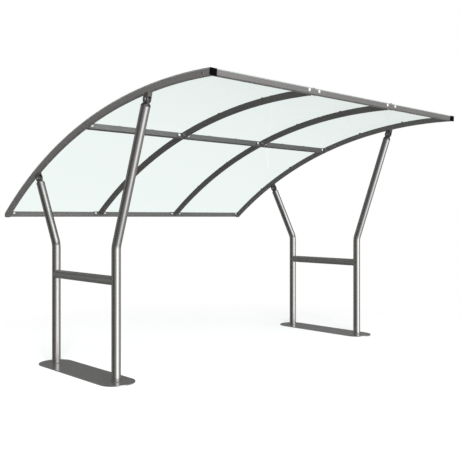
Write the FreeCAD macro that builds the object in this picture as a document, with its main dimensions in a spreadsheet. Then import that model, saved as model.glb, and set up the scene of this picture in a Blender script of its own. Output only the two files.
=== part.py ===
import FreeCAD
import Part
import math
import os
import Sketcher
from FreeCAD import Placement, Rotation, Vector

# Bicycle shelter, in millimetres: X along the shelter, -Y its open front, +Z up.
# The origin is on the ground under the middle of the whole shelter.
# Two bent-tube side frames on long round-ended plates carry four curved ribs at
# pivoted heads. A front rail, a purlin and a rear rail tie the ribs together,
# and three clear sheets lie over them.

SIZES = {
    "bay_pitch": 1085,  # one rib to the next, centre to centre
    "roof_depth": 3158,  # front of the rib caps to the back of the rib tips, in plan
    "roof_radius": 4810,  # outer face of the ribs
    "crown_height": 2365,  # highest point of the ribs above the ground
    "crown_setback": 230,  # front of the roof to its crown, in plan
    "posts_setback": 1662,  # front of the roof to the middle of the posts, in plan
    "purlin_setback": 1644,  # front of the roof to the purlin, in plan
    "plate_width": 310,  # base plate, also the diameter of its round ends
    "plate_thickness": 8,  # base plate
    "post_diameter": 76.1,  # round tube of the posts and the cross rails
    "post_wall": 3.2,  # wall of that tube
    "post_spacing": 964,  # front post to rear post, centre to centre
    "bend_height": 1092,  # ground to the corner that each post turns at
    "bend_radius": 150,  # centreline radius of that bend
    "front_lean": 20,  # degrees that the top of the front posts leans forward
    "rear_lean": 27.7,  # degrees that the top of the rear posts leans back
    "cross_rail_height": 820,  # ground to the centre of the cross rails
    "saddle_trim": 3,  # feather edge taken off the coped ends of a cross rail
    "head_length": 100,  # end of a post to the underside of its rib
    "collar_land": 4,  # straight edge of the collar that closes a post
    "collar_height": 18,  # whole collar
    "collar_top_diameter": 58,  # top of the collar's cone
    "pivot_height": 50,  # end of a post to the pivot
    "tongue_width": 50,  # tongue, also the diameter of its round end
    "tongue_clearance": 0.3,  # tongue to each cheek
    "tongue_top_clearance": 2,  # round end of the tongue to the web over it
    "bracket_thickness": 40,  # outside of one cheek to outside of the other
    "cheek_thickness": 8,  # one cheek of a bracket
    "cheek_width": 60,  # round lower end of a cheek
    "cheek_foot_width": 46,  # cheek where it meets the rib
    "pin_diameter": 16,  # pivot pin
    "pin_clearance": 0.2,  # pivot pin to its holes, on the radius
    "pin_overhang": 6,  # pivot pin beyond each cheek
    "rib_width": 40,  # rectangular tube of the ribs, along X
    "rib_depth": 50,  # rectangular tube of the ribs, square to the roof
    "section_wall": 3,  # wall of every rectangular tube
    "section_corner": 5,  # outside corner of every rectangular tube
    "front_rail_height": 40,  # front rail, square to the roof
    "front_rail_depth": 50,  # front rail, along the roof
    "rear_rail_height": 50,  # rear rail, square to the roof
    "rear_rail_depth": 30,  # rear rail, along the roof
    "purlin_height": 50,  # purlin, square to the roof
    "purlin_depth": 40,  # purlin, along the roof
    "seat_drop": 1,  # top of the purlins and the rear rail under the top of the ribs
    "flange_length": 165,  # end plate of an inner rib, along X
    "flange_thickness": 6,  # end plate of an inner rib
    "flange_bolt_pitch": 120,  # bolt to bolt on an end plate
    "front_bolt_rise": 8,  # bolts of a front end plate above its middle
    "rear_bolt_rise": 0,  # bolts of a rear end plate above its middle
    "bolt_hole_diameter": 9,  # every bolt hole of the roof
    "weld_gap": 0.1,  # end of an inner rib to its end plate
    "cleat_leg": 60,  # angle cleats between purlins or rails and ribs
    "cleat_thickness": 5,  # angle cleats
    "purlin_cleat_height": 40,  # angle cleats of the purlins, square to the roof
    "corner_cleat_height": 30,  # angle cleats of the rails, square to the roof
    "cleat_bolt_offset": 37,  # corner of a cleat to its bolts
    "cap_width": 64,  # plastic cap on the front of an end rib
    "cap_height": 52,  # the same cap, square to the roof
    "cap_corner": 4,  # corner of the same cap
    "cap_thickness": 6,  # the same cap, its face
    "cap_plug_length": 22,  # plug of the cap inside the rib
    "cap_plug_clearance": 0.3,  # plug to the inside of the rib
    "sheet_thickness": 5,  # clear roof sheet
    "sheet_seat": 0.2,  # underside of a sheet to the ribs
    "sheet_gap": 8,  # one sheet to the next, over an inner rib
    "sheet_inset": 2,  # edge of an outer sheet inside the side of the end rib
}

# Places that follow from the sizes. The roof is an arc about a line along X, and
# each angle is measured about that line, from straight up towards the rear.
PLACES = [
    ("Float", "crown_y", "-Sizes.roof_depth / 2 + Sizes.crown_setback"),
    ("Float", "axis_height", "Sizes.crown_height - Sizes.roof_radius"),
    ("Float", "mid_radius", "Sizes.roof_radius - Sizes.rib_depth / 2"),
    ("Float", "under_radius", "Sizes.roof_radius - Sizes.rib_depth"),
    ("Float", "purlin_radius", "Sizes.roof_radius - Sizes.seat_drop - Sizes.purlin_height / 2"),
    ("Float", "front_rail_radius", "Sizes.roof_radius - Sizes.rib_depth / 2"),
    ("Float", "rear_rail_radius", "Sizes.roof_radius - Sizes.seat_drop - Sizes.rear_rail_height / 2"),
    ("Angle", "front_angle", "-asin((Sizes.crown_setback - Sizes.cap_thickness) / Sizes.roof_radius)"),
    ("Angle", "front_rail_angle", "front_angle + asin(Sizes.front_rail_depth / mid_radius)"),
    ("Angle", "purlin_angle", "asin((Sizes.purlin_setback - Sizes.crown_setback) / Sizes.roof_radius)"),
    ("Float", "tip_run", "Sizes.roof_depth - Sizes.crown_setback - Sizes.rib_depth / 2"),
    ("Angle", "tip_angle", "asin(tip_run / mid_radius)"),
    ("Angle", "rear_rail_angle", "tip_angle - asin(Sizes.rear_rail_depth / mid_radius)"),
    ("Angle", "flange_angle", "asin((Sizes.flange_thickness + Sizes.weld_gap) / mid_radius)"),
    ("Angle", "inner_front_angle", "front_rail_angle + flange_angle"),
    ("Angle", "inner_rear_angle", "rear_rail_angle - flange_angle"),
    ("Float", "posts_y", "-Sizes.roof_depth / 2 + Sizes.posts_setback"),
    ("Float", "front_foot_y", "posts_y - Sizes.post_spacing / 2"),
    ("Float", "rear_foot_y", "posts_y + Sizes.post_spacing / 2"),
    ("Float", "bend_rise", "Sizes.bend_height - axis_height"),
    ("Float", "front_run", "front_foot_y - crown_y"),
    ("Float", "rear_run", "rear_foot_y - crown_y"),
    ("Float", "front_along", "bend_rise * cos(Sizes.front_lean) - front_run * sin(Sizes.front_lean)"),
    ("Float", "rear_along", "bend_rise * cos(Sizes.rear_lean) + rear_run * sin(Sizes.rear_lean)"),
    ("Float", "front_reach", "sqrt(front_along ^ 2 - bend_rise ^ 2 - front_run ^ 2 + under_radius ^ 2)"
                             " - front_along"),
    ("Float", "rear_reach", "sqrt(rear_along ^ 2 - bend_rise ^ 2 - rear_run ^ 2 + under_radius ^ 2)"
                            " - rear_along"),
    ("Float", "bracket_gap", "Sizes.bracket_thickness - 2 * Sizes.cheek_thickness"),
    ("Float", "pin_hole", "Sizes.pin_diameter + 2 * Sizes.pin_clearance"),
]

# Three bays in a row between four ribs. The places of the ribs are counted in bays
# from the middle. Each post has its way along Y and the turn that its bend needs.
BAYS = {"left": -1, "middle": 0, "right": 1}
RIBS = {"left_end": -1.5, "left_inner": -0.5, "right_inner": 0.5, "right_end": 1.5}
END_PLACE = max(RIBS.values())
SIDES = {"left": -1, "right": 1}
POSTS = {"front": (-1, 0), "rear": (1, 180)}

X_AXIS = Vector(1, 0, 0)
Z_AXIS = Vector(0, 0, 1)
# How a sketch's constraints name its own vertical axis and its origin.
V_AXIS = (-2,)
ORIGIN = (-1, 1)

# A piece that turns about X has its angle set by a formula. The turn of one degree
# that it starts with only gives it that axis.
ABOUT_X = Rotation(X_AXIS, 1)

doc = FreeCAD.newDocument("bicycle_shelter")
sheet = doc.addObject("Spreadsheet::Sheet", "Sizes")
for row, (alias, value) in enumerate(SIZES.items(), start=1):
    sheet.set("A%d" % row, str(value))
    sheet.setAlias("A%d" % row, alias)
doc.recompute()

places = doc.addObject("App::VarSet", "Places")
for kind, name, formula in PLACES:
    places.addProperty("App::Property" + kind, name, "Places")
    places.setExpression(name, formula)
doc.recompute()

subparts = []


def number(formula):
    """The present value of a formula, as a first guess for a sketch."""
    answer = places.evalExpression(formula)
    return float(getattr(answer, "Value", answer))


def keep(piece, label):
    """Notes a finished sub-part under the name of its file."""
    piece.Label = label
    subparts.append(piece)
    return piece


def new_body(label):
    return doc.addObject("PartDesign::Body", label)


def origin_feature(body, role):
    return next(item for item in body.Origin.OriginFeatures if item.Role == role)


def new_sketch(body, plane):
    sketch = body.newObject("Sketcher::SketchObject", body.Name + "_sketch")
    sketch.AttachmentSupport = (origin_feature(body, plane), [""])
    sketch.MapMode = "FlatFace"
    return sketch


def dimension(sketch, name, constraint, formula):
    """Adds a named dimension to a sketch and ties it to a formula."""
    index = sketch.addConstraint(constraint)
    sketch.renameConstraint(index, name)
    sketch.setExpression("Constraints." + name, formula)


def both_ways(body, kind, sketch, formula=None):
    """Pads or cuts a sketch evenly to both sides of its plane, or cuts right through."""
    feature = body.newObject("PartDesign::" + kind, body.Name + "_" + kind.lower())
    feature.Profile = sketch
    feature.SideType = "Symmetric"
    if formula is None:
        feature.Type = "ThroughAll"
    else:
        feature.setExpression("Length", formula)
    body.Tip = feature
    return feature


def one_way(body, sketch, formula, towards_rear):
    """Pads a sketch on the XZ plane towards the front or the rear of the shelter."""
    pad = body.newObject("PartDesign::Pad", body.Name + "_pad")
    pad.Profile = sketch
    pad.Reversed = towards_rear
    pad.setExpression("Length", formula)
    body.Tip = pad
    return pad


def box_outline(sketch, width, height, corner=None, lift="0", tag=""):
    """A rectangle centred on the V axis, its centre lifted along it, corners round or sharp."""
    half_w = number(width) / 2
    half_h = number(height) / 2
    rise = number(lift)
    radius = number(corner) if corner else 0
    first = sketch.GeometryCount
    low, high = rise - half_h, rise + half_h
    sketch.addGeometry([
        Part.LineSegment(Vector(radius - half_w, low, 0), Vector(half_w - radius, low, 0)),
        Part.LineSegment(Vector(half_w, low + radius, 0), Vector(half_w, high - radius, 0)),
        Part.LineSegment(Vector(half_w - radius, high, 0), Vector(radius - half_w, high, 0)),
        Part.LineSegment(Vector(-half_w, high - radius, 0), Vector(-half_w, low + radius, 0)),
    ])
    bottom, right, top, left = range(first, first + 4)
    ring = [bottom, right, top, left]
    if corner:
        quarter = math.pi / 2
        for turn, (side_x, side_y) in enumerate([(1, -1), (1, 1), (-1, 1), (-1, -1)]):
            centre = Vector(side_x * (half_w - radius), rise + side_y * (half_h - radius), 0)
            start = (turn - 1) * quarter
            circle = Part.Circle(centre, Z_AXIS, radius)
            arc = sketch.addGeometry(Part.ArcOfCircle(circle, start, start + quarter))
            sketch.addConstraint(Sketcher.Constraint("Tangent", ring[turn], 2, arc, 1))
            sketch.addConstraint(Sketcher.Constraint("Tangent", arc, 2, ring[(turn + 1) % 4], 1))
            if turn:
                sketch.addConstraint(Sketcher.Constraint("Equal", first + 4, arc))
        dimension(sketch, "corner" + tag, Sketcher.Constraint("Radius", first + 4, radius), corner)
    else:
        for turn in range(4):
            join = Sketcher.Constraint("Coincident", ring[turn], 2, ring[(turn + 1) % 4], 1)
            sketch.addConstraint(join)
    sketch.addConstraint(Sketcher.Constraint("Horizontal", top))
    for line in (right, left):
        sketch.addConstraint(Sketcher.Constraint("Vertical", line))
    sketch.addConstraint(Sketcher.Constraint("Symmetric", bottom, 1, bottom, 2, *V_AXIS))
    dimension(sketch, "width" + tag,
              Sketcher.Constraint("DistanceX", left, 1, right, 1, 2 * half_w), width)
    dimension(sketch, "height" + tag,
              Sketcher.Constraint("DistanceY", bottom, 1, top, 1, 2 * half_h), height)
    dimension(sketch, "low" + tag,
              Sketcher.Constraint("DistanceY", *ORIGIN, bottom, 1, low), "%s - %s / 2" % (lift, height))


def tube_outline(sketch, width, height, lift="0"):
    """The section of a rectangular tube: its outside and its bore, both round-cornered."""
    wall = "Sizes.section_wall"
    box_outline(sketch, width, height, "Sizes.section_corner", lift, "_outside")
    inner = "Sizes.section_corner - " + wall
    box_outline(sketch, "(%s - 2 * %s)" % (width, wall), "(%s - 2 * %s)" % (height, wall),
                inner, lift, "_bore")


def circle_at(sketch, name, diameter, across="0", up="0"):
    """A circle with its centre tied to the sketch's origin."""
    centre = Vector(number(across), number(up), 0)
    index = sketch.addGeometry(Part.Circle(centre, Z_AXIS, number(diameter) / 2))
    dimension(sketch, name, Sketcher.Constraint("Diameter", index, number(diameter)), diameter)
    for axis, formula, start in (("X", across, centre.x), ("Y", up, centre.y)):
        rule = Sketcher.Constraint("Distance" + axis, *ORIGIN, index, 3, start)
        dimension(sketch, name + "_" + axis.lower(), rule, formula)


def polygon(sketch, corners):
    """A closed outline of straight lines, each corner tied to the origin by its two formulas."""
    points = [Vector(number(across), number(up), 0) for across, up in corners]
    count = len(points)
    for index, point in enumerate(points):
        sketch.addGeometry(Part.LineSegment(point, points[(index + 1) % count]))
    for index, (across, up) in enumerate(corners):
        join = Sketcher.Constraint("Coincident", index, 2, (index + 1) % count, 1)
        sketch.addConstraint(join)
        for axis, formula, start in (("X", across, points[index].x), ("Y", up, points[index].y)):
            rule = Sketcher.Constraint("Distance" + axis, *ORIGIN, index, 1, start)
            dimension(sketch, "corner%d_%s" % (index, axis.lower()), rule, formula)


def place_on_line(piece, side, depth_way, height, turn=0):
    """Stands a piece on a side frame's plane, over a named place of the frame."""
    piece.Placement = Placement(Vector(), Rotation(Z_AXIS, turn))
    piece.setExpression("Placement.Base.x", "%g * Sizes.bay_pitch" % (side * END_PLACE))
    piece.setExpression("Placement.Base.y", depth_way)
    piece.setExpression("Placement.Base.z", height)


def place_on_post(piece, side, end, run):
    """Puts a piece on the leaning part of a post, a run beyond the bend, turned to its axis."""
    way = POSTS[end][0]
    lean = "Sizes.%s_lean" % end
    piece.Placement = Placement(Vector(), ABOUT_X)
    piece.setExpression("Placement.Rotation.Angle", "%d * %s" % (-way, lean))
    piece.setExpression("Placement.Base.x", "%g * Sizes.bay_pitch" % (side * END_PLACE))
    piece.setExpression("Placement.Base.y",
                        "Places.%s_foot_y + %d * (%s) * sin(%s)" % (end, way, run, lean))
    piece.setExpression("Placement.Base.z", "Sizes.bend_height + (%s) * cos(%s)" % (run, lean))


def place_on_roof(piece, across, angle, radius="Places.mid_radius", behind="0"):
    """Puts a piece on the roof's arc, turned to it, and moves it along the roof to the rear."""
    piece.Placement = Placement(Vector(), ABOUT_X)
    piece.setExpression("Placement.Rotation.Angle", "-1 * " + angle)
    piece.setExpression("Placement.Base.x", across)
    piece.setExpression("Placement.Base.y", "Places.crown_y + %s * sin(%s) + (%s) * cos(%s)"
                        % (radius, angle, behind, angle))
    piece.setExpression("Placement.Base.z", "Places.axis_height + %s * cos(%s) - (%s) * sin(%s)"
                        % (radius, angle, behind, angle))


def base_plate(side_name, side):
    """A flat plate with round ends, centred under the two posts of a side frame."""
    body = new_body(side_name + "_base_plate")
    sketch = new_sketch(body, "XY_Plane")
    half = number("Sizes.post_spacing") / 2
    radius = number("Sizes.plate_width") / 2
    quarter = math.pi / 2
    rear = Part.Circle(Vector(0, half, 0), Z_AXIS, radius)
    front = Part.Circle(Vector(0, -half, 0), Z_AXIS, radius)
    sketch.addGeometry([
        Part.ArcOfCircle(rear, 0, 2 * quarter),
        Part.LineSegment(Vector(-radius, half, 0), Vector(-radius, -half, 0)),
        Part.ArcOfCircle(front, 2 * quarter, 4 * quarter),
        Part.LineSegment(Vector(radius, -half, 0), Vector(radius, half, 0)),
    ])
    for index in range(4):
        join = Sketcher.Constraint("Tangent", index, 2, (index + 1) % 4, 1)
        sketch.addConstraint(join)
    sketch.addConstraint(Sketcher.Constraint("Equal", 0, 2))
    sketch.addConstraint(Sketcher.Constraint("Symmetric", 0, 3, 2, 3, *ORIGIN))
    sketch.addConstraint(Sketcher.Constraint("PointOnObject", 0, 3, *V_AXIS))
    dimension(sketch, "end_radius", Sketcher.Constraint("Radius", 0, radius), "Sizes.plate_width / 2")
    dimension(sketch, "spacing", Sketcher.Constraint("DistanceY", 2, 3, 0, 3, 2 * half),
              "Sizes.post_spacing")
    pad = body.newObject("PartDesign::Pad", body.Name + "_pad")
    pad.Profile = sketch
    pad.setExpression("Length", "Sizes.plate_thickness")
    place_on_line(body, side, "Places.posts_y", "0")
    keep(body, side_name + "_base_plate")


def post(side_name, side, end):
    """A round tube that stands upright and turns once, on a smooth bend, towards its end."""
    turn = POSTS[end][1]
    body = new_body("%s_%s_post" % (side_name, end))
    ring = new_sketch(body, "XY_Plane")
    circle_at(ring, "outside", "Sizes.post_diameter")
    circle_at(ring, "bore", "(Sizes.post_diameter - 2 * Sizes.post_wall)")
    lean = "Sizes.%s_lean" % end
    corner = "Sizes.bend_radius * tan(%s / 2)" % lean
    upright = "Sizes.bend_height - Sizes.plate_thickness - " + corner
    leaning = "(Places.%s_reach - Sizes.head_length - %s)" % (end, corner)
    height = number(upright)
    radius = number("Sizes.bend_radius")
    angle = math.radians(number(lean))
    length = number(leaning)
    bend_end = Vector(radius * math.cos(angle) - radius, height + radius * math.sin(angle), 0)
    top = bend_end + Vector(-math.sin(angle), math.cos(angle), 0) * length
    path = new_sketch(body, "YZ_Plane")
    path.addGeometry([
        Part.LineSegment(Vector(), Vector(0, height, 0)),
        Part.ArcOfCircle(Part.Circle(Vector(-radius, height, 0), Z_AXIS, radius), 0, angle),
        Part.LineSegment(bend_end, top),
    ])
    path.addConstraint(Sketcher.Constraint("Coincident", 0, 1, *ORIGIN))
    path.addConstraint(Sketcher.Constraint("Vertical", 0))
    path.addConstraint(Sketcher.Constraint("Tangent", 0, 2, 1, 1))
    path.addConstraint(Sketcher.Constraint("Tangent", 1, 2, 2, 1))
    dimension(path, "upright", Sketcher.Constraint("DistanceY", 0, 1, 0, 2, height), upright)
    dimension(path, "bend", Sketcher.Constraint("Radius", 1, radius), "Sizes.bend_radius")
    dimension(path, "lean_across", Sketcher.Constraint("DistanceX", 2, 2, 2, 1, length),
              "%s * sin(%s)" % (leaning, lean))
    dimension(path, "lean_up", Sketcher.Constraint("DistanceY", 2, 1, 2, 2, length),
              "%s * cos(%s)" % (leaning, lean))
    pipe = body.newObject("PartDesign::AdditivePipe", body.Name + "_pipe")
    pipe.Profile = ring
    pipe.Spine = (path, ["Edge1", "Edge2", "Edge3"])
    place_on_line(body, side, "Places.%s_foot_y" % end, "Sizes.plate_thickness", turn)
    keep(body, "%s_%s_post" % (side_name, end))


def cross_rail(side_name, side):
    """A level tube between two posts, both ends coped to saddle them."""
    body = new_body(side_name + "_cross_rail")
    ring = new_sketch(body, "XZ_Plane")
    circle_at(ring, "outside", "Sizes.post_diameter")
    circle_at(ring, "bore", "(Sizes.post_diameter - 2 * Sizes.post_wall)")
    both_ways(body, "Pad", ring, "Sizes.post_spacing - 2 * Sizes.saddle_trim")
    saddles = new_sketch(body, "XY_Plane")
    circle_at(saddles, "front", "Sizes.post_diameter", "0", "-Sizes.post_spacing / 2")
    circle_at(saddles, "rear", "Sizes.post_diameter", "0", "Sizes.post_spacing / 2")
    both_ways(body, "Pocket", saddles)
    place_on_line(body, side, "Places.posts_y", "Sizes.cross_rail_height")
    keep(body, side_name + "_cross_rail")


def tongue(side_name, side, end):
    """The head of a post: a coned collar that closes the tube, and a drilled round tongue."""
    body = new_body("%s_%s_tongue" % (side_name, end))
    profile = new_sketch(body, "XZ_Plane")
    polygon(profile, [
        ("0", "0"),
        ("Sizes.post_diameter / 2", "0"),
        ("Sizes.post_diameter / 2", "Sizes.collar_land"),
        ("Sizes.collar_top_diameter / 2", "Sizes.collar_height"),
        ("0", "Sizes.collar_height"),
    ])
    collar = body.newObject("PartDesign::Revolution", body.Name + "_collar")
    collar.Profile = profile
    collar.ReferenceAxis = (profile, ["V_Axis"])
    collar.Angle = 360
    outline = new_sketch(body, "YZ_Plane")
    half = number("Sizes.tongue_width") / 2
    low = number("Sizes.collar_height")
    pivot = number("Sizes.pivot_height")
    outline.addGeometry([
        Part.LineSegment(Vector(-half, low, 0), Vector(half, low, 0)),
        Part.LineSegment(Vector(half, low, 0), Vector(half, pivot, 0)),
        Part.ArcOfCircle(Part.Circle(Vector(0, pivot, 0), Z_AXIS, half), 0, math.pi),
        Part.LineSegment(Vector(-half, pivot, 0), Vector(-half, low, 0)),
    ])
    outline.addConstraint(Sketcher.Constraint("Coincident", 0, 2, 1, 1))
    outline.addConstraint(Sketcher.Constraint("Tangent", 1, 2, 2, 1))
    outline.addConstraint(Sketcher.Constraint("Tangent", 2, 2, 3, 1))
    outline.addConstraint(Sketcher.Constraint("Coincident", 3, 2, 0, 1))
    outline.addConstraint(Sketcher.Constraint("Horizontal", 0))
    outline.addConstraint(Sketcher.Constraint("Vertical", 1))
    outline.addConstraint(Sketcher.Constraint("PointOnObject", 2, 3, *V_AXIS))
    outline.addConstraint(Sketcher.Constraint("Vertical", 3))
    dimension(outline, "end_radius", Sketcher.Constraint("Radius", 2, half), "Sizes.tongue_width / 2")
    dimension(outline, "pivot", Sketcher.Constraint("DistanceY", *ORIGIN, 2, 3, pivot),
              "Sizes.pivot_height")
    dimension(outline, "foot", Sketcher.Constraint("DistanceY", *ORIGIN, 0, 1, low),
              "Sizes.collar_height")
    both_ways(body, "Pad", outline, "Places.bracket_gap - 2 * Sizes.tongue_clearance")
    hole = new_sketch(body, "YZ_Plane")
    circle_at(hole, "pin_hole", "Places.pin_hole", "0", "Sizes.pivot_height")
    both_ways(body, "Pocket", hole)
    place_on_post(body, side, end, "Places.%s_reach - Sizes.head_length" % end)
    keep(body, "%s_%s_tongue" % (side_name, end))


def bracket(side_name, side, end):
    """A forked bracket under a rib: two round cheeks with a web that follows the rib."""
    label = "%s_%s_bracket" % (side_name, end)
    body = new_body(label + "_blank")
    outline = new_sketch(body, "YZ_Plane")
    radius = number("Sizes.cheek_width") / 2
    foot = number("Sizes.cheek_foot_width") / 2
    blank_top = "(Sizes.head_length - Sizes.pivot_height + Sizes.cheek_foot_width / 2)"
    top = number(blank_top)
    touch = math.atan2(top, foot) - math.acos(radius / math.hypot(top, foot))
    right = Vector(radius * math.cos(touch), radius * math.sin(touch), 0)
    left = Vector(-right.x, right.y, 0)
    outline.addGeometry([
        Part.ArcOfCircle(Part.Circle(Vector(), Z_AXIS, radius), math.pi - touch, 2 * math.pi + touch),
        Part.LineSegment(right, Vector(foot, top, 0)),
        Part.LineSegment(Vector(foot, top, 0), Vector(-foot, top, 0)),
        Part.LineSegment(Vector(-foot, top, 0), left),
    ])
    outline.addConstraint(Sketcher.Constraint("Coincident", 0, 3, *ORIGIN))
    outline.addConstraint(Sketcher.Constraint("Tangent", 0, 2, 1, 1))
    outline.addConstraint(Sketcher.Constraint("Coincident", 1, 2, 2, 1))
    outline.addConstraint(Sketcher.Constraint("Coincident", 2, 2, 3, 1))
    outline.addConstraint(Sketcher.Constraint("Tangent", 3, 2, 0, 1))
    outline.addConstraint(Sketcher.Constraint("Symmetric", 2, 1, 2, 2, *V_AXIS))
    dimension(outline, "end_radius", Sketcher.Constraint("Radius", 0, radius), "Sizes.cheek_width / 2")
    dimension(outline, "foot", Sketcher.Constraint("DistanceX", 2, 2, 2, 1, 2 * foot),
              "Sizes.cheek_foot_width")
    dimension(outline, "top", Sketcher.Constraint("DistanceY", *ORIGIN, 2, 1, top), blank_top)
    both_ways(body, "Pad", outline, "Sizes.bracket_thickness")
    slot = new_sketch(body, "XZ_Plane")
    half_gap = "Places.bracket_gap / 2"
    slot_low = "-Sizes.cheek_width"
    slot_top = "Sizes.tongue_width / 2 + Sizes.tongue_top_clearance"
    polygon(slot, [
        ("-1 * " + half_gap, slot_low),
        (half_gap, slot_low),
        (half_gap, slot_top),
        ("-1 * " + half_gap, slot_top),
    ])
    both_ways(body, "Pocket", slot)
    hole = new_sketch(body, "YZ_Plane")
    circle_at(hole, "pin_hole", "Places.pin_hole")
    both_ways(body, "Pocket", hole)
    place_on_post(body, side, end,
                  "Places.%s_reach - Sizes.head_length + Sizes.pivot_height" % end)
    under_rib = doc.addObject("Part::Cylinder", label + "_under_rib")
    under_rib.setExpression("Radius", "Places.under_radius")
    under_rib.setExpression("Height", "2 * Sizes.bracket_thickness")
    under_rib.Placement = Placement(Vector(), Rotation(Vector(0, 1, 0), 90))
    under_rib.setExpression("Placement.Base.x", "%g * Sizes.bay_pitch - Sizes.bracket_thickness"
                            % (side * END_PLACE))
    under_rib.setExpression("Placement.Base.y", "Places.crown_y")
    under_rib.setExpression("Placement.Base.z", "Places.axis_height")
    trimmed = doc.addObject("Part::Common", label)
    trimmed.Base = body
    trimmed.Tool = under_rib
    trimmed.Placement = Placement()
    keep(trimmed, label)


def pivot_pin(side_name, side, end):
    """The round pin that joins a tongue to its bracket, along X."""
    label = "%s_%s_pivot_pin" % (side_name, end)
    body = new_body(label)
    section = new_sketch(body, "YZ_Plane")
    circle_at(section, "pin", "Sizes.pin_diameter")
    both_ways(body, "Pad", section, "Sizes.bracket_thickness + 2 * Sizes.pin_overhang")
    place_on_post(body, side, end,
                  "Places.%s_reach - Sizes.head_length + Sizes.pivot_height" % end)
    keep(body, label)


def revolve_forward(body, profile, sweep):
    """Sweeps a profile about the roof's axis, from its rear end to its front end."""
    arc = body.newObject("PartDesign::Revolution", body.Name + "_arc")
    arc.Profile = profile
    arc.ReferenceAxis = (profile, ["H_Axis"])
    arc.setExpression("Angle", sweep)
    body.Tip = arc
    return arc


def rib(name, place):
    """A rolled rectangular tube. An end rib runs on to a rounded, closed rear tip."""
    is_end = name.endswith("end")
    body = new_body(name + "_rib")
    rear = "Places.tip_angle" if is_end else "Places.inner_rear_angle"
    front = "Places.front_angle" if is_end else "Places.inner_front_angle"
    profile = new_sketch(body, "XZ_Plane")
    tube_outline(profile, "Sizes.rib_width", "Sizes.rib_depth", "Places.mid_radius")
    revolve_forward(body, profile, "%s - %s" % (rear, front))
    if is_end:
        tip = new_sketch(body, "YZ_Plane")
        radius = number("Sizes.rib_depth") / 2
        centre = Vector(0, number("Places.mid_radius"), 0)
        quarter = math.pi / 2
        tip.addGeometry([
            Part.ArcOfCircle(Part.Circle(centre, Z_AXIS, radius), -quarter, quarter),
            Part.LineSegment(centre + Vector(0, radius, 0), centre - Vector(0, radius, 0)),
        ])
        tip.addConstraint(Sketcher.Constraint("Coincident", 0, 2, 1, 1))
        tip.addConstraint(Sketcher.Constraint("Coincident", 1, 2, 0, 1))
        tip.addConstraint(Sketcher.Constraint("Vertical", 1))
        tip.addConstraint(Sketcher.Constraint("PointOnObject", 0, 3, *V_AXIS))
        tip.addConstraint(Sketcher.Constraint("PointOnObject", 0, 3, 1))
        dimension(tip, "tip_radius", Sketcher.Constraint("Radius", 0, radius), "Sizes.rib_depth / 2")
        dimension(tip, "tip_place", Sketcher.Constraint("DistanceY", *ORIGIN, 0, 3, centre.y),
                  "Places.mid_radius")
        both_ways(body, "Pad", tip, "Sizes.rib_width")
    place_on_roof(body, "%s * Sizes.bay_pitch" % place, rear, "0")
    keep(body, name + "_rib")


def rib_cap(side_name, side):
    """A plastic cap on the front of an end rib: a round-cornered face and a plug."""
    body = new_body(side_name + "_rib_cap")
    face = new_sketch(body, "XZ_Plane")
    box_outline(face, "Sizes.cap_width", "Sizes.cap_height", "Sizes.cap_corner")
    one_way(body, face, "Sizes.cap_thickness", False)
    plug = new_sketch(body, "XZ_Plane")
    spare = "2 * (Sizes.section_wall + Sizes.cap_plug_clearance)"
    box_outline(plug, "(Sizes.rib_width - %s)" % spare, "(Sizes.rib_depth - %s)" % spare,
                "Sizes.section_corner - Sizes.section_wall")
    one_way(body, plug, "Sizes.cap_plug_length", True)
    place_on_roof(body, "%g * Sizes.bay_pitch" % (side * END_PLACE), "Places.front_angle")
    keep(body, side_name + "_rib_cap")


def straight_tube(label, across, length, depth, height, angle, radius, behind):
    """A straight rectangular tube along X, lying square to the roof."""
    body = new_body(label)
    section = new_sketch(body, "YZ_Plane")
    tube_outline(section, depth, height)
    both_ways(body, "Pad", section, length)
    place_on_roof(body, across, angle, radius, behind)
    keep(body, label)


def rib_flange(name, place, end):
    """The plate on the end of an inner rib, with a bolt hole on each side of the rib."""
    label = "%s_rib_%s_flange" % (name, end)
    body = new_body(label)
    plate = new_sketch(body, "XZ_Plane")
    box_outline(plate, "Sizes.flange_length", "Sizes.%s_rail_height" % end)
    one_way(body, plate, "Sizes.flange_thickness", end == "front")
    holes = new_sketch(body, "XZ_Plane")
    rise = "Sizes.%s_bolt_rise" % end
    circle_at(holes, "left_hole", "Sizes.bolt_hole_diameter", "-Sizes.flange_bolt_pitch / 2", rise)
    circle_at(holes, "right_hole", "Sizes.bolt_hole_diameter", "Sizes.flange_bolt_pitch / 2", rise)
    both_ways(body, "Pocket", holes)
    place_on_roof(body, "%s * Sizes.bay_pitch" % place, "Places.%s_rail_angle" % end,
                  "Places.%s_rail_radius" % end)
    keep(body, label)


def angle_cleat(label, side, facing, across, angle, radius, height):
    """An angle cleat between the face of a rail or purlin and the side of a rib."""
    body = new_body(label)
    away = "%d * " % -side
    ahead = "%d * " % facing
    leg = "Sizes.cleat_leg"
    thick = "Sizes.cleat_thickness"
    section = new_sketch(body, "XY_Plane")
    polygon(section, [
        ("0", "0"),
        (away + leg, "0"),
        (away + leg, ahead + thick),
        (away + thick, ahead + thick),
        (away + thick, ahead + leg),
        ("0", ahead + leg),
    ])
    both_ways(body, "Pad", section, height)
    rail_hole = new_sketch(body, "XZ_Plane")
    circle_at(rail_hole, "hole", "Sizes.bolt_hole_diameter", away + "Sizes.cleat_bolt_offset")
    both_ways(body, "Pocket", rail_hole)
    rib_hole = new_sketch(body, "YZ_Plane")
    circle_at(rib_hole, "hole", "Sizes.bolt_hole_diameter", ahead + "Sizes.cleat_bolt_offset")
    both_ways(body, "Pocket", rib_hole)
    place_on_roof(body, across, angle, radius)
    keep(body, label)


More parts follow.
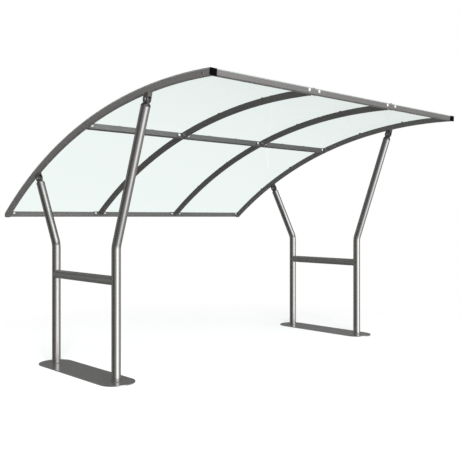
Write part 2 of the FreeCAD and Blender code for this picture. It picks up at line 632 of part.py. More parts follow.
def purlin_cleat(bay_name, bay, side_name, side):
    """The cleat at one end of a purlin, on its front face."""
    across = "%d * Sizes.bay_pitch + %d * (Sizes.bay_pitch - Sizes.rib_width) / 2" % (bay, side)
    angle_cleat("%s_purlin_%s_cleat" % (bay_name, side_name), side, -1, across,
                "Places.purlin_angle", "Places.purlin_radius", "Sizes.purlin_cleat_height")


def corner_cleat(side_name, side, end):
    """The cleat between an end rib and a rail: behind the front rail, or before the rear one."""
    across = "%g * Sizes.bay_pitch - %d * Sizes.rib_width / 2" % (side * END_PLACE, side)
    angle_cleat("%s_%s_corner_cleat" % (side_name, end), side, -POSTS[end][0], across,
                "Places.%s_rail_angle" % end, "Places.%s_rail_radius" % end,
                "Sizes.corner_cleat_height")


def roof_sheet(bay_name, bay):
    """One clear sheet over a bay, bent to the ribs. An outer sheet covers its end rib."""
    body = new_body(bay_name + "_roof_sheet")
    profile = new_sketch(body, "XZ_Plane")
    width = "(Sizes.bay_pitch - Sizes.sheet_gap)"
    across = "0"
    if bay:
        outer = "(Sizes.rib_width / 2 - Sizes.sheet_inset + Sizes.sheet_gap / 2)"
        width = "(Sizes.bay_pitch - Sizes.sheet_gap + %s)" % outer
        across = "%d * (Sizes.bay_pitch + %s / 2)" % (bay, outer)
    box_outline(profile, width, "Sizes.sheet_thickness", None,
                "(Sizes.roof_radius + Sizes.sheet_seat + Sizes.sheet_thickness / 2)")
    revolve_forward(body, profile, "Places.tip_angle - Places.front_angle")
    place_on_roof(body, across, "Places.tip_angle", "0")
    keep(body, bay_name + "_roof_sheet")


for side_name, side in SIDES.items():
    base_plate(side_name, side)
    cross_rail(side_name, side)
    for end in POSTS:
        post(side_name, side, end)
        tongue(side_name, side, end)
        bracket(side_name, side, end)
        pivot_pin(side_name, side, end)
        corner_cleat(side_name, side, end)
    rib_cap(side_name, side)

for name, place in RIBS.items():
    rib(name, place)
    if name.endswith("inner"):
        for end in POSTS:
            rib_flange(name, place, end)

span = "%d * Sizes.bay_pitch - Sizes.rib_width" % len(BAYS)
straight_tube("front_rail", "0", span, "Sizes.front_rail_depth", "Sizes.front_rail_height",
              "Places.front_rail_angle", "Places.front_rail_radius", "-Sizes.front_rail_depth / 2")
straight_tube("rear_rail", "0", span, "Sizes.rear_rail_depth", "Sizes.rear_rail_height",
              "Places.rear_rail_angle", "Places.rear_rail_radius", "Sizes.rear_rail_depth / 2")

for bay_name, bay in BAYS.items():
    straight_tube(bay_name + "_purlin", "%d * Sizes.bay_pitch" % bay,
                  "Sizes.bay_pitch - Sizes.rib_width", "Sizes.purlin_depth", "Sizes.purlin_height",
                  "Places.purlin_angle", "Places.purlin_radius", "Sizes.purlin_depth / 2")
    for side_name, side in SIDES.items():
        purlin_cleat(bay_name, bay, side_name, side)
    roof_sheet(bay_name, bay)

doc.recompute()

for item in doc.Objects:
    if "Invalid" in item.State or "Error" in item.State:
        raise RuntimeError("%s could not be worked out: %s" % (item.Label, item.State))
for piece in subparts:
    if piece.Shape.isNull() or not piece.Shape.isValid() or piece.Shape.Volume <= 0:
        raise RuntimeError("%s has no sound solid" % piece.Label)

os.makedirs("parts", exist_ok=True)
for piece in subparts:
    piece.Shape.exportStep("parts/%s.step" % piece.Label)
print("%d sub-parts written" % len(subparts))
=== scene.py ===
import math
import bmesh
import bpy
import numpy as np
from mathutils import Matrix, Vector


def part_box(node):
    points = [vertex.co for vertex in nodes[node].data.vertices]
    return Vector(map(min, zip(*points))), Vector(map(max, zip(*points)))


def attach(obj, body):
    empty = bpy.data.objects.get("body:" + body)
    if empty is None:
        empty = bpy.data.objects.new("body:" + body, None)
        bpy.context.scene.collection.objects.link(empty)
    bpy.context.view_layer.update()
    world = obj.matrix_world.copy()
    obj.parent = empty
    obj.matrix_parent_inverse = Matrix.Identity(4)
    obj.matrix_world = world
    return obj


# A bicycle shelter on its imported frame. Every size is in metres, in the frame's own axes:
# X runs along the shelter, Y from the open front to the rear, and Z up.
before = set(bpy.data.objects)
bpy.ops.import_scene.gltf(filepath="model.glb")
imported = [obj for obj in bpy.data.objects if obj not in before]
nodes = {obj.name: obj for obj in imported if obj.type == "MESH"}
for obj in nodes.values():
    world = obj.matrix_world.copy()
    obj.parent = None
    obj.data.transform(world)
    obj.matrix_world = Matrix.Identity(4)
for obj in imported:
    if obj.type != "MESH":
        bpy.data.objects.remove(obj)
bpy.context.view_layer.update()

# Base plates. Each is a long flat bar of 8 mm steel plate with round, flame-cut ends,
# welded under two posts. It has the same metallic grey powder coat as the rest of the
# frame, baked on: satin, faintly clouded, and duller where feet scuff it.

GREY_COAT = "BEBCBA"
GREY_COAT_CLOUD = "CAC9C7"
CLOUD_SIZE = 0.16
# Real orange peel is one to two millimetres wide. It is drawn coarser, so that it shows.
PEEL_SIZE = 0.005
PEEL_HEIGHT = 0.000006
SCUFF_SIZE = 0.05


def linear(colour):
    """sRGB hex to linear RGBA. Above its toe, a channel c becomes ((c + 0.055) / 1.055) ** 2.4."""
    code = np.array([int(colour[start:start + 2], 16) for start in (0, 2, 4)]) / 255
    channels = np.where(code <= 0.04045, code / 12.92, ((code + 0.055) / 1.055) ** 2.4)
    return (*channels.tolist(), 1.0)


def add_node(tree, kind, values, **settings):
    """Adds a node with its settings. Each value is a number, a colour, or an output to link."""
    made = tree.nodes.new(kind)
    for name, setting in settings.items():
        setattr(made, name, setting)
    for name, value in values.items():
        if isinstance(value, bpy.types.NodeSocket):
            tree.links.new(value, made.inputs[name])
        else:
            made.inputs[name].default_value = value
    return made


def new_material(name):
    """An empty material, its tree and its object coordinates."""
    material = bpy.data.materials.new(name)
    material.use_nodes = True
    tree = material.node_tree
    tree.nodes.clear()
    place = tree.nodes.new("ShaderNodeTexCoord").outputs["Object"]
    return material, tree, place


def finish_material(tree, shader):
    """Links a material's last shader to its output."""
    output = tree.nodes.new("ShaderNodeOutputMaterial")
    tree.links.new(shader, output.inputs["Surface"])


def powder_coat(name, metallic, smooth, rough, grey, cloud, scuffs=0.0):
    """Metallic grey powder coat: a satin that mirrors the studio softly. Clouds shift its grey and
    its roughness, scuffs add roughness where the marks are strong, and orange peel dents it."""
    material, tree, place = new_material(name)
    clouds = add_node(tree, "ShaderNodeTexNoise",
                      {"Vector": place, "Scale": 1 / CLOUD_SIZE, "Detail": 3.0, "Roughness": 0.6})
    flake = add_node(tree, "ShaderNodeMix",
                     {0: clouds.outputs["Fac"], 6: linear(grey), 7: linear(cloud)},
                     data_type="RGBA")
    marks = add_node(tree, "ShaderNodeTexNoise",
                     {"Vector": place, "Scale": 1 / SCUFF_SIZE, "Detail": 8.0, "Roughness": 0.7})
    scuffed = add_node(tree, "ShaderNodeMapRange",
                       {"Value": marks.outputs["Fac"], "From Min": 0.5, "From Max": 0.8,
                        "To Min": 0.0, "To Max": scuffs})
    sheen = add_node(tree, "ShaderNodeMapRange",
                     {"Value": clouds.outputs["Fac"], "From Min": 0.3, "From Max": 0.7,
                      "To Min": smooth, "To Max": rough})
    dulled = add_node(tree, "ShaderNodeMath",
                      {0: sheen.outputs["Result"], 1: scuffed.outputs["Result"]}, operation="ADD")
    peel = add_node(tree, "ShaderNodeTexNoise",
                    {"Vector": place, "Scale": 1 / PEEL_SIZE, "Detail": 1.0})
    dents = add_node(tree, "ShaderNodeBump",
                     {"Height": peel.outputs["Fac"], "Distance": PEEL_HEIGHT, "Strength": 1.0})
    coat = add_node(tree, "ShaderNodeBsdfPrincipled",
                    {"Base Color": flake.outputs[2], "Metallic": metallic,
                     "Roughness": dulled.outputs[0], "Normal": dents.outputs["Normal"]})
    finish_material(tree, coat.outputs["BSDF"])
    return material


def finish_nodes(material, names):
    """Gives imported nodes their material."""
    for name in names:
        nodes[name].data.materials.clear()
        nodes[name].data.materials.append(material)


SIDES = ("left", "right")
ENDS = ("front", "rear")
plate_coat = powder_coat("powder_coated_plate", metallic=0.88, smooth=0.14, rough=0.2,
                         grey=GREY_COAT, cloud=GREY_COAT_CLOUD, scuffs=0.12)
finish_nodes(plate_coat, [side + "_base_plate" for side in SIDES])
PLATE_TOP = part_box("left_base_plate")[1].z

# Posts. Each is one length of 76.1 mm round steel tube, bent once on a mandrel and set
# upright on its plate, with a full fillet weld around its foot. The coat runs smoother
# over the round tube, so that it shows a sharp bright stripe between dark flanks.

TUBE_RADIUS = (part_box("left_cross_rail")[1].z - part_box("left_cross_rail")[0].z) / 2
RIPPLE = 0.004
RIPPLE_SWELL = 0.1
RIPPLE_STEPS = 6
BEAD_SIDES = 10
FOOT_WELD = 0.003
SHARP_EDGE = math.radians(40)
# The welds' grey is darker than the tubes' coat: painted shade, which keeps the beads from catching
# bright light.
WELD_PAINTED_SHADE_GREY = "8A8887"
WELD_PAINTED_SHADE_CLOUD = "949291"
TUBE_GREY = "BFBDBB"
TUBE_GREY_CLOUD = "C7C5C3"


def surface(name, grids, material, wrap=(True, True)):
    """One piece from an array of like grids of points. Point (row, column) of a grid makes a quad
    with its neighbours at row + 1 and column + 1. Where wrap says so, the last meets the first."""
    count, rows, columns, _ = grids.shape
    row = np.arange(rows if wrap[0] else rows - 1)
    column = np.arange(columns if wrap[1] else columns - 1)
    row, column = np.meshgrid(row, column, indexing="ij")
    next_row, next_column = (row + 1) % rows, (column + 1) % columns
    quads = np.stack([row * columns + column, next_row * columns + column,
                      next_row * columns + next_column, row * columns + next_column], axis=-1)
    quads = quads.reshape(1, -1, 4) + (np.arange(count) * rows * columns)[:, None, None]
    mesh = bpy.data.meshes.new(name)
    mesh.from_pydata(grids.reshape(-1, 3), [], quads.reshape(-1, 4))
    shape = bmesh.new()
    shape.from_mesh(mesh)
    bmesh.ops.remove_doubles(shape, verts=shape.verts, dist=1e-6)
    bmesh.ops.recalc_face_normals(shape, faces=shape.faces)
    shape.to_mesh(mesh)
    shape.free()
    mesh.shade_smooth()
    mesh.set_sharp_from_angle(angle=SHARP_EDGE)
    mesh.materials.append(material)
    made = bpy.data.objects.new(name, mesh)
    bpy.context.scene.collection.objects.link(made)
    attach(made, "root")
    return made


def bead(path, across, up, radius):
    """A weld bead: a circle of the given radius in the plane of two directions, carried along a
    closed path. Its radius is swelled by the cosine of the way along, once for each ripple."""
    steps = np.linalg.norm(np.roll(path, -1, axis=0) - path, axis=1)
    along = np.cumsum(steps) - steps[0]
    ripples = max(1, round(steps.sum() / RIPPLE))
    swell = 1 + RIPPLE_SWELL * np.cos(2 * np.pi * ripples * along / steps.sum())
    turn = np.arange(BEAD_SIDES) * 2 * np.pi / BEAD_SIDES
    ring = (across[:, None] * np.cos(turn)[None, :, None] + up[:, None] * np.sin(turn)[None, :, None])
    return path[:, None] + radius * swell[:, None, None] * ring


def around(radius):
    """Angles around a circle, a few for each ripple of a weld on it."""
    count = RIPPLE_STEPS * max(1, round(2 * np.pi * radius / RIPPLE))
    return np.arange(count) * 2 * np.pi / count


tube_coat = powder_coat("powder_coated_tube", metallic=0.97, smooth=0.15, rough=0.2,
                        grey=TUBE_GREY, cloud=TUBE_GREY_CLOUD)
finish_nodes(tube_coat, ["%s_%s_post" % (side, end) for side in SIDES for end in ENDS])

SIDE_X = {side: (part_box(side + "_cross_rail")[0].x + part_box(side + "_cross_rail")[1].x) / 2
          for side in SIDES}
FOOT_Y = {"front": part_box("left_front_post")[1].y - TUBE_RADIUS,
          "rear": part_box("left_rear_post")[0].y + TUBE_RADIUS}
foot_welds = []
for side in SIDES:
    for end in ENDS:
        turn = around(TUBE_RADIUS)
        out = np.stack([np.cos(turn), np.sin(turn), np.zeros_like(turn)], axis=-1)
        rise = np.zeros_like(out) + (0, 0, 1)
        centre = np.array([SIDE_X[side], FOOT_Y[end], PLATE_TOP])
        foot_welds.append(bead(centre + TUBE_RADIUS * out, out, rise, FOOT_WELD))
weld_painted_shade_coat = powder_coat("powder_coated_weld_painted_shade", metallic=0.85, smooth=0.4, rough=0.5,
                        grey=WELD_PAINTED_SHADE_GREY, cloud=WELD_PAINTED_SHADE_CLOUD)
surface("post_foot_welds", np.array(foot_welds), weld_painted_shade_coat)

# Cross rails. Each is the same round tube, coped at both ends to saddle the posts and
# welded all round. Bicycles lean on it, so the coat is a little dulled and rubbed. Its grey is
# darker than the posts': painted shade.

SADDLE_WELD = 0.0025
SADDLE_TRIM = 0.003
CROSS_RAIL_PAINTED_SHADE_GREY = "A2A19F"
CROSS_RAIL_PAINTED_SHADE_CLOUD = "AEADAB"
cross_rail_painted_shade_coat = powder_coat("powder_coated_cross_rail_painted_shade", metallic=0.88, smooth=0.26, rough=0.34,
                        grey=CROSS_RAIL_PAINTED_SHADE_GREY, cloud=CROSS_RAIL_PAINTED_SHADE_CLOUD, scuffs=0.1)
finish_nodes(cross_rail_painted_shade_coat, [side + "_cross_rail" for side in SIDES])
RAIL_Z = (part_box("left_cross_rail")[0].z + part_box("left_cross_rail")[1].z) / 2
saddle_welds = []
for side in SIDES:
    for end, inward in (("front", 1), ("rear", -1)):
        turn = around(TUBE_RADIUS)
        out = np.stack([np.cos(turn), np.zeros_like(turn), np.sin(turn)], axis=-1)
        away = np.zeros_like(out) + (0, inward, 0)
        reach = np.maximum(TUBE_RADIUS * np.abs(np.sin(turn)), SADDLE_TRIM)
        centre = np.array([SIDE_X[side], FOOT_Y[end], RAIL_Z])
        path = centre + TUBE_RADIUS * out + away * reach[:, None]
        saddle_welds.append(bead(path, out, away, SADDLE_WELD))
surface("cross_rail_welds", np.array(saddle_welds), weld_painted_shade_coat)

# Post heads. A coned collar with a drilled tongue is welded into the end of each post. A
# forked bracket, welded under the rib, takes the tongue between its cheeks, and one
# zinc-plated bolt with a domed head, washers and a hexagon nut joins the two.

# The brackets have a darker copy of the coat: painted shade under the rib.
BRACKET_PAINTED_SHADE_GREY = "6A6866"
BRACKET_PAINTED_SHADE_CLOUD = "868482"
# The tongues have a still darker copy of the coat: painted shade between the cheeks.
TONGUE_PAINTED_SHADE_GREY = "5C5B59"
TONGUE_PAINTED_SHADE_CLOUD = "6E6C6A"
COLLAR_WELD = 0.0018
BRACKET_WELD = 0.0028
LOOP_STEPS = 270
CORNER_STEPS = 7
BOLT_TURNS = 48
DOME_STEPS = 8
# The tumbled satin of zinc is finer than a millimetre. It is drawn coarser, so that it shows.
TUMBLE_SIZE = 0.002
TUMBLE_UNEVEN = 0.06
# These lengths repeat the part's own, which no node's box gives.
BEND_HEIGHT = 1.092
PIVOT_TO_TUBE = 0.05
PIVOT_TO_RIB = 0.05
BRACKET_FOOT = 0.046
BRACKET_HALF = 0.02
BRACKET_CORNER = 0.003
CROWN_SETBACK = 0.23
ROOF_RADIUS = 4.81
RIB_DEPTH = 0.05
CROWN_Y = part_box("left_rib_cap")[0].y + CROWN_SETBACK
AXIS_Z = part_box("left_inner_rib")[1].z - ROOF_RADIUS


def roof_angle(point):
    """The angle of a point about the roof's axis, from straight up towards the rear."""
    return math.atan2(point[1] - CROWN_Y, point[2] - AXIS_Z)


def on_roof(x, angle, radius, along=0.0):
    """The point at a radius and angle of the roof, moved along it to the rear."""
    y = CROWN_Y + radius * np.sin(angle) + along * np.cos(angle)
    z = AXIS_Z + radius * np.cos(angle) - along * np.sin(angle)
    return np.stack(np.broadcast_arrays(x, y, z), axis=-1)


def roof_ways(angle):
    """Unit vectors square to the roof and along it to the rear, at an angle."""
    out = np.array([0, math.sin(angle), math.cos(angle)])
    back = np.array([0, math.cos(angle), -math.sin(angle)])
    return out, back


def loop(half_a, half_b, corner, count):
    """Even points around a rounded rectangle: their two offsets and the angle of each normal. Each
    corner is a quarter circle about a core point, and the whole is divided by its length."""
    quarter = np.linspace(0, np.pi / 2, CORNER_STEPS)
    normal = (quarter[None] + np.arange(4)[:, None] * np.pi / 2).ravel()
    core_a = np.repeat([1, -1, -1, 1], CORNER_STEPS) * (half_a - corner)
    core_b = np.repeat([1, 1, -1, -1], CORNER_STEPS) * (half_b - corner)
    a = core_a + corner * np.cos(normal)
    b = core_b + corner * np.sin(normal)
    a, b, normal = np.append(a, a[0]), np.append(b, b[0]), np.append(normal, 2 * np.pi)
    along = np.append(0, np.cumsum(np.hypot(np.diff(a), np.diff(b))))
    even = np.linspace(0, along[-1], count, endpoint=False)
    return np.interp(even, along, a), np.interp(even, along, b), np.interp(even, along, normal)


def turned(profile, place, axis, flats=0.0, head=(0.0, 1.0)):
    """A turned fastener: radius and height pairs carried around an axis. Between the two heights
    of its head, the radius stops at a hexagon: flats / 2 over the cosine of the angle to a flat."""
    radius, height = np.array(profile).T
    turn = np.arange(BOLT_TURNS) * 2 * np.pi / BOLT_TURNS
    radius = np.repeat(radius[:, None], BOLT_TURNS, axis=1)
    if flats:
        hexagon = flats / 2 / np.cos((turn + np.pi / 6) % (np.pi / 3) - np.pi / 6)
        in_head = (height >= head[0]) & (height <= head[1])
        radius = np.where(in_head[:, None], np.minimum(radius, hexagon[None]), radius)
    axis = np.array(axis) / np.linalg.norm(axis)
    side = np.cross(axis, (0.0, 0.0, 1.0) if abs(axis[2]) < 0.9 else (1.0, 0.0, 0.0))
    side = side / np.linalg.norm(side)
    other = np.cross(axis, side)
    ring = np.cos(turn)[:, None] * side + np.sin(turn)[:, None] * other
    return place + radius[..., None] * ring + height[:, None, None] * axis


def dome(radius, height, washer_radius, washer, sink=0.0005):
    """The profile of a domed head on a washer. The dome is a quarter of an ellipse: its radius goes
    with the cosine and its height with the sine. It sinks a little into what it is seated on."""
    rise = np.linspace(0, np.pi / 2, DOME_STEPS)
    head = np.stack([radius * np.cos(rise), washer + height * np.sin(rise)], axis=-1)
    head[-1, 0] = 0
    edge = 0.15 * washer
    foot = [(0, -sink), (washer_radius, -sink), (washer_radius, washer - edge),
            (washer_radius - edge, washer)]
    return np.concatenate([foot, head])


def nut(flats, height, washer_radius, washer, thread, stub, sink=0.0005):
    """The profile of a chamfered hexagon nut on a washer, with the bolt's end standing out of it.
    It runs out to the hexagon's corners, flats over the root of 3, and is cut to it when turned."""
    corner = flats / math.sqrt(3)
    bevel = (corner - flats / 2) * 0.6
    edge = 0.15 * washer
    return np.array([
        (0, -sink), (washer_radius, -sink), (washer_radius, washer - edge),
        (washer_radius - edge, washer), (corner, washer), (corner, washer + height - bevel),
        (flats / 2 * 0.98, washer + height), (thread, washer + height),
        (thread, washer + height + stub), (thread - edge, washer + height + stub + edge),
        (0, washer + height + stub + edge),
    ])


def zinc(name, colour, dull, metallic, rough):
    """Zinc plate on steel, tumbled: pale metal with a fine, uneven satin that glints here and there."""
    material, tree, place = new_material(name)
    tumbled = add_node(tree, "ShaderNodeTexNoise",
                       {"Vector": place, "Scale": 1 / TUMBLE_SIZE, "Detail": 3.0, "Roughness": 0.6})
    tint = add_node(tree, "ShaderNodeMix",
                    {0: tumbled.outputs["Fac"], 6: linear(colour), 7: linear(dull)},
                    data_type="RGBA")
    satin = add_node(tree, "ShaderNodeMapRange",
                     {"Value": tumbled.outputs["Fac"], "To Min": rough - TUMBLE_UNEVEN,
                      "To Max": rough + TUMBLE_UNEVEN})
    metal = add_node(tree, "ShaderNodeBsdfPrincipled",
                     {"Base Color": tint.outputs[2], "Metallic": metallic,
                      "Roughness": satin.outputs["Result"]})
    finish_material(tree, metal.outputs["BSDF"])
    return material


tongue_painted_shade_coat = powder_coat("powder_coated_tongue", metallic=0.88, smooth=0.3, rough=0.4,
                          grey=TONGUE_PAINTED_SHADE_GREY, cloud=TONGUE_PAINTED_SHADE_CLOUD, scuffs=0.2)
finish_nodes(tongue_painted_shade_coat, ["%s_%s_tongue" % (side, end) for side in SIDES for end in ENDS])
bracket_painted_shade_coat = powder_coat("powder_coated_bracket", metallic=0.88, smooth=0.3, rough=0.4,
                           grey=BRACKET_PAINTED_SHADE_GREY, cloud=BRACKET_PAINTED_SHADE_CLOUD, scuffs=0.2)
finish_nodes(bracket_painted_shade_coat, ["%s_%s_bracket" % (side, end) for side in SIDES for end in ENDS])
bright_zinc = zinc("bright_zinc_plate", colour="D9DADB", dull="BEBFC1", metallic=1.0, rough=0.34)
finish_nodes(bright_zinc, ["%s_%s_pivot_pin" % (side, end) for side in SIDES for end in ENDS])

OUTSIDE = {"left": -1, "right": 1}
LEVEL = np.array([1.0, 0.0, 0.0])
PIVOT_FLATS = 0.024
PIVOT_NUT_HEIGHT = 0.008
PIVOT_WASHER = 0.0025
PIVOT_WASHER_RADIUS = 0.015
PIVOT_HEAD = dome(radius=0.0125, height=0.0085, washer_radius=PIVOT_WASHER_RADIUS,
                  washer=PIVOT_WASHER)
PIVOT_NUT = nut(flats=PIVOT_FLATS, height=PIVOT_NUT_HEIGHT, washer_radius=PIVOT_WASHER_RADIUS,
                washer=PIVOT_WASHER, thread=0.008, stub=0.002)
PIVOT_HEXAGON = (PIVOT_WASHER, PIVOT_WASHER + PIVOT_NUT_HEIGHT)
collar_welds, bracket_welds, pivot_heads, pivot_nuts = [], [], [], []
for side in SIDES:
    for end in ENDS:
        pin_low, pin_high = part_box("%s_%s_pivot_pin" % (side, end))
        pin = np.array((pin_low + pin_high) / 2)
        corner = np.array([SIDE_X[side], FOOT_Y[end], BEND_HEIGHT])
        rise = (pin - corner) / np.linalg.norm(pin - corner)
        facing = np.cross(rise, LEVEL)
        turn = around(TUBE_RADIUS)
        out = np.cos(turn)[:, None] * LEVEL + np.sin(turn)[:, None] * facing
        seam = pin - PIVOT_TO_TUBE * rise
        collar_welds.append(bead(seam + TUBE_RADIUS * out, out, np.zeros_like(out) + rise, COLLAR_WELD))

        foot = roof_angle(pin + PIVOT_TO_RIB * rise)
        outward, back = roof_ways(foot)
        half = BRACKET_FOOT / 2 / abs(float(rise @ outward))
        a, b, normal = loop(BRACKET_HALF, half, BRACKET_CORNER, LOOP_STEPS)
        path = on_roof(pin[0] + a, foot + b / (ROOF_RADIUS - RIB_DEPTH), ROOF_RADIUS - RIB_DEPTH)
        out = np.cos(normal)[:, None] * LEVEL + np.sin(normal)[:, None] * back
        bracket_welds.append(bead(path, out, np.zeros_like(out) - outward, BRACKET_WELD))

        cheek = OUTSIDE[side] * BRACKET_HALF * LEVEL
        pivot_heads.append(turned(PIVOT_HEAD, pin + cheek, (OUTSIDE[side], 0, 0)))
        pivot_nuts.append(turned(PIVOT_NUT, pin - cheek, (-OUTSIDE[side], 0, 0),
                                 flats=PIVOT_FLATS, head=PIVOT_HEXAGON))
surface("collar_welds", np.array(collar_welds), weld_painted_shade_coat)
surface("bracket_welds", np.array(bracket_welds), weld_painted_shade_coat)
surface("pivot_bolt_heads", np.array(pivot_heads), bright_zinc, (False, True))
surface("pivot_bolt_nuts", np.array(pivot_nuts), bright_zinc, (False, True))

# Ribs. Each is 40 x 50 mm rectangular steel tube, rolled the hard way to one radius. The
# outer two run on to welded, rounded tips, and the inner two are welded to end plates.
# Their coat is satin, because rolling leaves the faces a little uneven under it.

RIB_CORNER = 0.005
RIB_HALF = 0.02
RIB_WELD = 0.0025
FLANGE_HALF = 0.003
RIB_GREY = "767472"
RIB_GREY_CLOUD = "7F7D7B"
INNER_RIB_PAINTED_LIGHT_GREY = "7F7D7B"
INNER_RIB_PAINTED_LIGHT_CLOUD = "8A8886"
RIGHT_RIB_PAINTED_LIGHT_GREY = "8F8D8B"
RIGHT_RIB_PAINTED_LIGHT_CLOUD = "9A9896"
INNER_RIBS = ("left_inner_rib", "right_inner_rib")
# The left end rib faces the studio's bright side, so its coat is only half metallic and stays
# grey there. The inner ribs and the right one read paler, and get paler, metallic copies of the
# same coat: painted light.
left_rib_coat = powder_coat("powder_coated_rolled_section", metallic=0.5, smooth=0.3, rough=0.4,
                            grey=RIB_GREY, cloud=RIB_GREY_CLOUD)
finish_nodes(left_rib_coat, ["left_end_rib"])
inner_rib_painted_light_coat = powder_coat("powder_coated_rolled_section_inside_painted_light", metallic=0.85, smooth=0.34,
                         rough=0.42, grey=INNER_RIB_PAINTED_LIGHT_GREY, cloud=INNER_RIB_PAINTED_LIGHT_CLOUD)
finish_nodes(inner_rib_painted_light_coat, INNER_RIBS)
right_rib_painted_light_coat = powder_coat("powder_coated_rolled_section_right_painted_light", metallic=0.85, smooth=0.34,
                             rough=0.42, grey=RIGHT_RIB_PAINTED_LIGHT_GREY, cloud=RIGHT_RIB_PAINTED_LIGHT_CLOUD)
finish_nodes(right_rib_painted_light_coat, ["right_end_rib"])
RIB_X = {rib: (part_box(rib)[0].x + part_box(rib)[1].x) / 2
         for rib in INNER_RIBS + ("left_end_rib", "right_end_rib")}
rib_welds = []
for rib in INNER_RIBS:
    for end, inward in (("front", 1), ("rear", -1)):
        low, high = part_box("%s_%s_flange" % (rib, end))
        middle = (low + high) / 2
        angle = roof_angle(middle)
        outward, back = roof_ways(angle)
        a, b, normal = loop(RIB_HALF, RIB_DEPTH / 2, RIB_CORNER, LOOP_STEPS)
        path = on_roof(RIB_X[rib] + a, angle, ROOF_RADIUS - RIB_DEPTH / 2 + b, inward * FLANGE_HALF)
        out = np.cos(normal)[:, None] * LEVEL + np.sin(normal)[:, None] * outward
        rib_welds.append(bead(path, out, np.zeros_like(out) + inward * back, RIB_WELD))
surface("rib_end_welds", np.array(rib_welds), weld_painted_shade_coat)

# Rails and purlins. The front and rear rails are straight rectangular tubes that run from
# one end rib to the other, and a shorter purlin crosses each bay. Angle cleats hold them
# to the ribs. All are bolted up on site, with zinc-plated bolts that stay bright.

FLANGE_PITCH = 0.12
FRONT_BOLT_RISE = 0.008
FRONT_RAIL_DEPTH = 0.05
REAR_RAIL_DEPTH = 0.03
CLEAT_THICKNESS = 0.005
CLEAT_BOLT = 0.037
RAIL_GREY = "7E7C7B"
RAIL_GREY_CLOUD = "868483"
PURLIN_PAINTED_SHADE_GREY = "939291"
PURLIN_PAINTED_SHADE_CLOUD = "9C9B9A"
SMALL_FLATS = 0.013
SMALL_NUT_HEIGHT = 0.006
SMALL_WASHER = 0.0016
SMALL_HEAD = dome(radius=0.012, height=0.0048, washer_radius=0.0135, washer=0.0011)
SMALL_NUT = nut(flats=SMALL_FLATS, height=SMALL_NUT_HEIGHT, washer_radius=0.0085,
                washer=SMALL_WASHER, thread=0.004, stub=0.001)
SMALL_HEXAGON = (SMALL_WASHER, SMALL_WASHER + SMALL_NUT_HEIGHT)
BAYS = ("left", "middle", "right")
# Each cleat, with the way along X to its rib and the way along the roof to its rail or purlin.
CLEATS = [("%s_purlin_%s_cleat" % (bay, side), OUTSIDE[side], 1) for bay in BAYS for side in SIDES]
CLEATS += [("%s_%s_corner_cleat" % (side, end), OUTSIDE[side], to_rail)
           for side in SIDES for end, to_rail in (("front", -1), ("rear", 1))]
outer_finish = powder_coat("powder_coated_straight_section", metallic=0.5, smooth=0.24, rough=0.32,
                           grey=RAIL_GREY, cloud=RAIL_GREY_CLOUD)
finish_nodes(outer_finish, ["front_rail", "rear_rail"])
finish_nodes(outer_finish, ["%s_%s_flange" % (rib, end) for rib in INNER_RIBS for end in ENDS])
# The purlins and cleats, under the sheets, get their own copy of the coat, set so that they show the
# darker grey they have there: painted shade.
purlin_painted_shade_finish = powder_coat("powder_coated_straight_section_inside_painted_shade", metallic=0.88, smooth=0.28,
                            rough=0.36, grey=PURLIN_PAINTED_SHADE_GREY, cloud=PURLIN_PAINTED_SHADE_CLOUD)
finish_nodes(purlin_painted_shade_finish, [bay + "_purlin" for bay in BAYS])
finish_nodes(purlin_painted_shade_finish, [name for name, _, _ in CLEATS])

rail_heads, rail_nuts = [], []
for rib in INNER_RIBS:
    for end, rise, before, behind in (("front", FRONT_BOLT_RISE, FRONT_RAIL_DEPTH, 0.0),
                                      ("rear", 0.0, 0.0, REAR_RAIL_DEPTH)):
        low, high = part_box("%s_%s_flange" % (rib, end))
        angle = roof_angle((low + high) / 2)
        outward, back = roof_ways(angle)
        for step in (-0.5, 0.5):
            x = RIB_X[rib] + step * FLANGE_PITCH
            middle = ROOF_RADIUS - RIB_DEPTH / 2 + rise
            head = on_roof(x, angle, middle, -FLANGE_HALF - before)
            tail = on_roof(x, angle, middle, FLANGE_HALF + behind)
            rail_heads.append(turned(SMALL_HEAD, head, -back))
            rail_nuts.append(turned(SMALL_NUT, tail, back, flats=SMALL_FLATS, head=SMALL_HEXAGON))

cleat_heads, cleat_nuts, rib_heads = [], [], []
for name, to_rib, to_rail in CLEATS:
    low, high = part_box(name)
    middle = np.array((low + high) / 2)
    angle = roof_angle(middle)
    outward, back = roof_ways(angle)
    radius = float(np.hypot(middle[1] - CROWN_Y, middle[2] - AXIS_Z))
    rib_face = low.x if to_rib < 0 else high.x
    leg = high.x - low.x
    bolt_x = rib_face - to_rib * CLEAT_BOLT
    on_rail = on_roof(bolt_x, angle, radius, to_rail * (leg / 2 - CLEAT_THICKNESS))
    cleat_heads.append(turned(SMALL_HEAD, on_rail, -to_rail * back))
    on_rib = on_roof(rib_face - to_rib * CLEAT_THICKNESS, angle, radius,
                     to_rail * (leg / 2 - CLEAT_BOLT))
    cleat_nuts.append(turned(SMALL_NUT, on_rib, (-to_rib, 0, 0), flats=SMALL_FLATS,
                             head=SMALL_HEXAGON))
    through = on_roof(rib_face + to_rib * 2 * RIB_HALF, angle, radius,
                      to_rail * (leg / 2 - CLEAT_BOLT))
    if abs(through[0]) > max(RIB_X.values()):
        rib_heads.append(turned(SMALL_HEAD, through, (to_rib, 0, 0)))
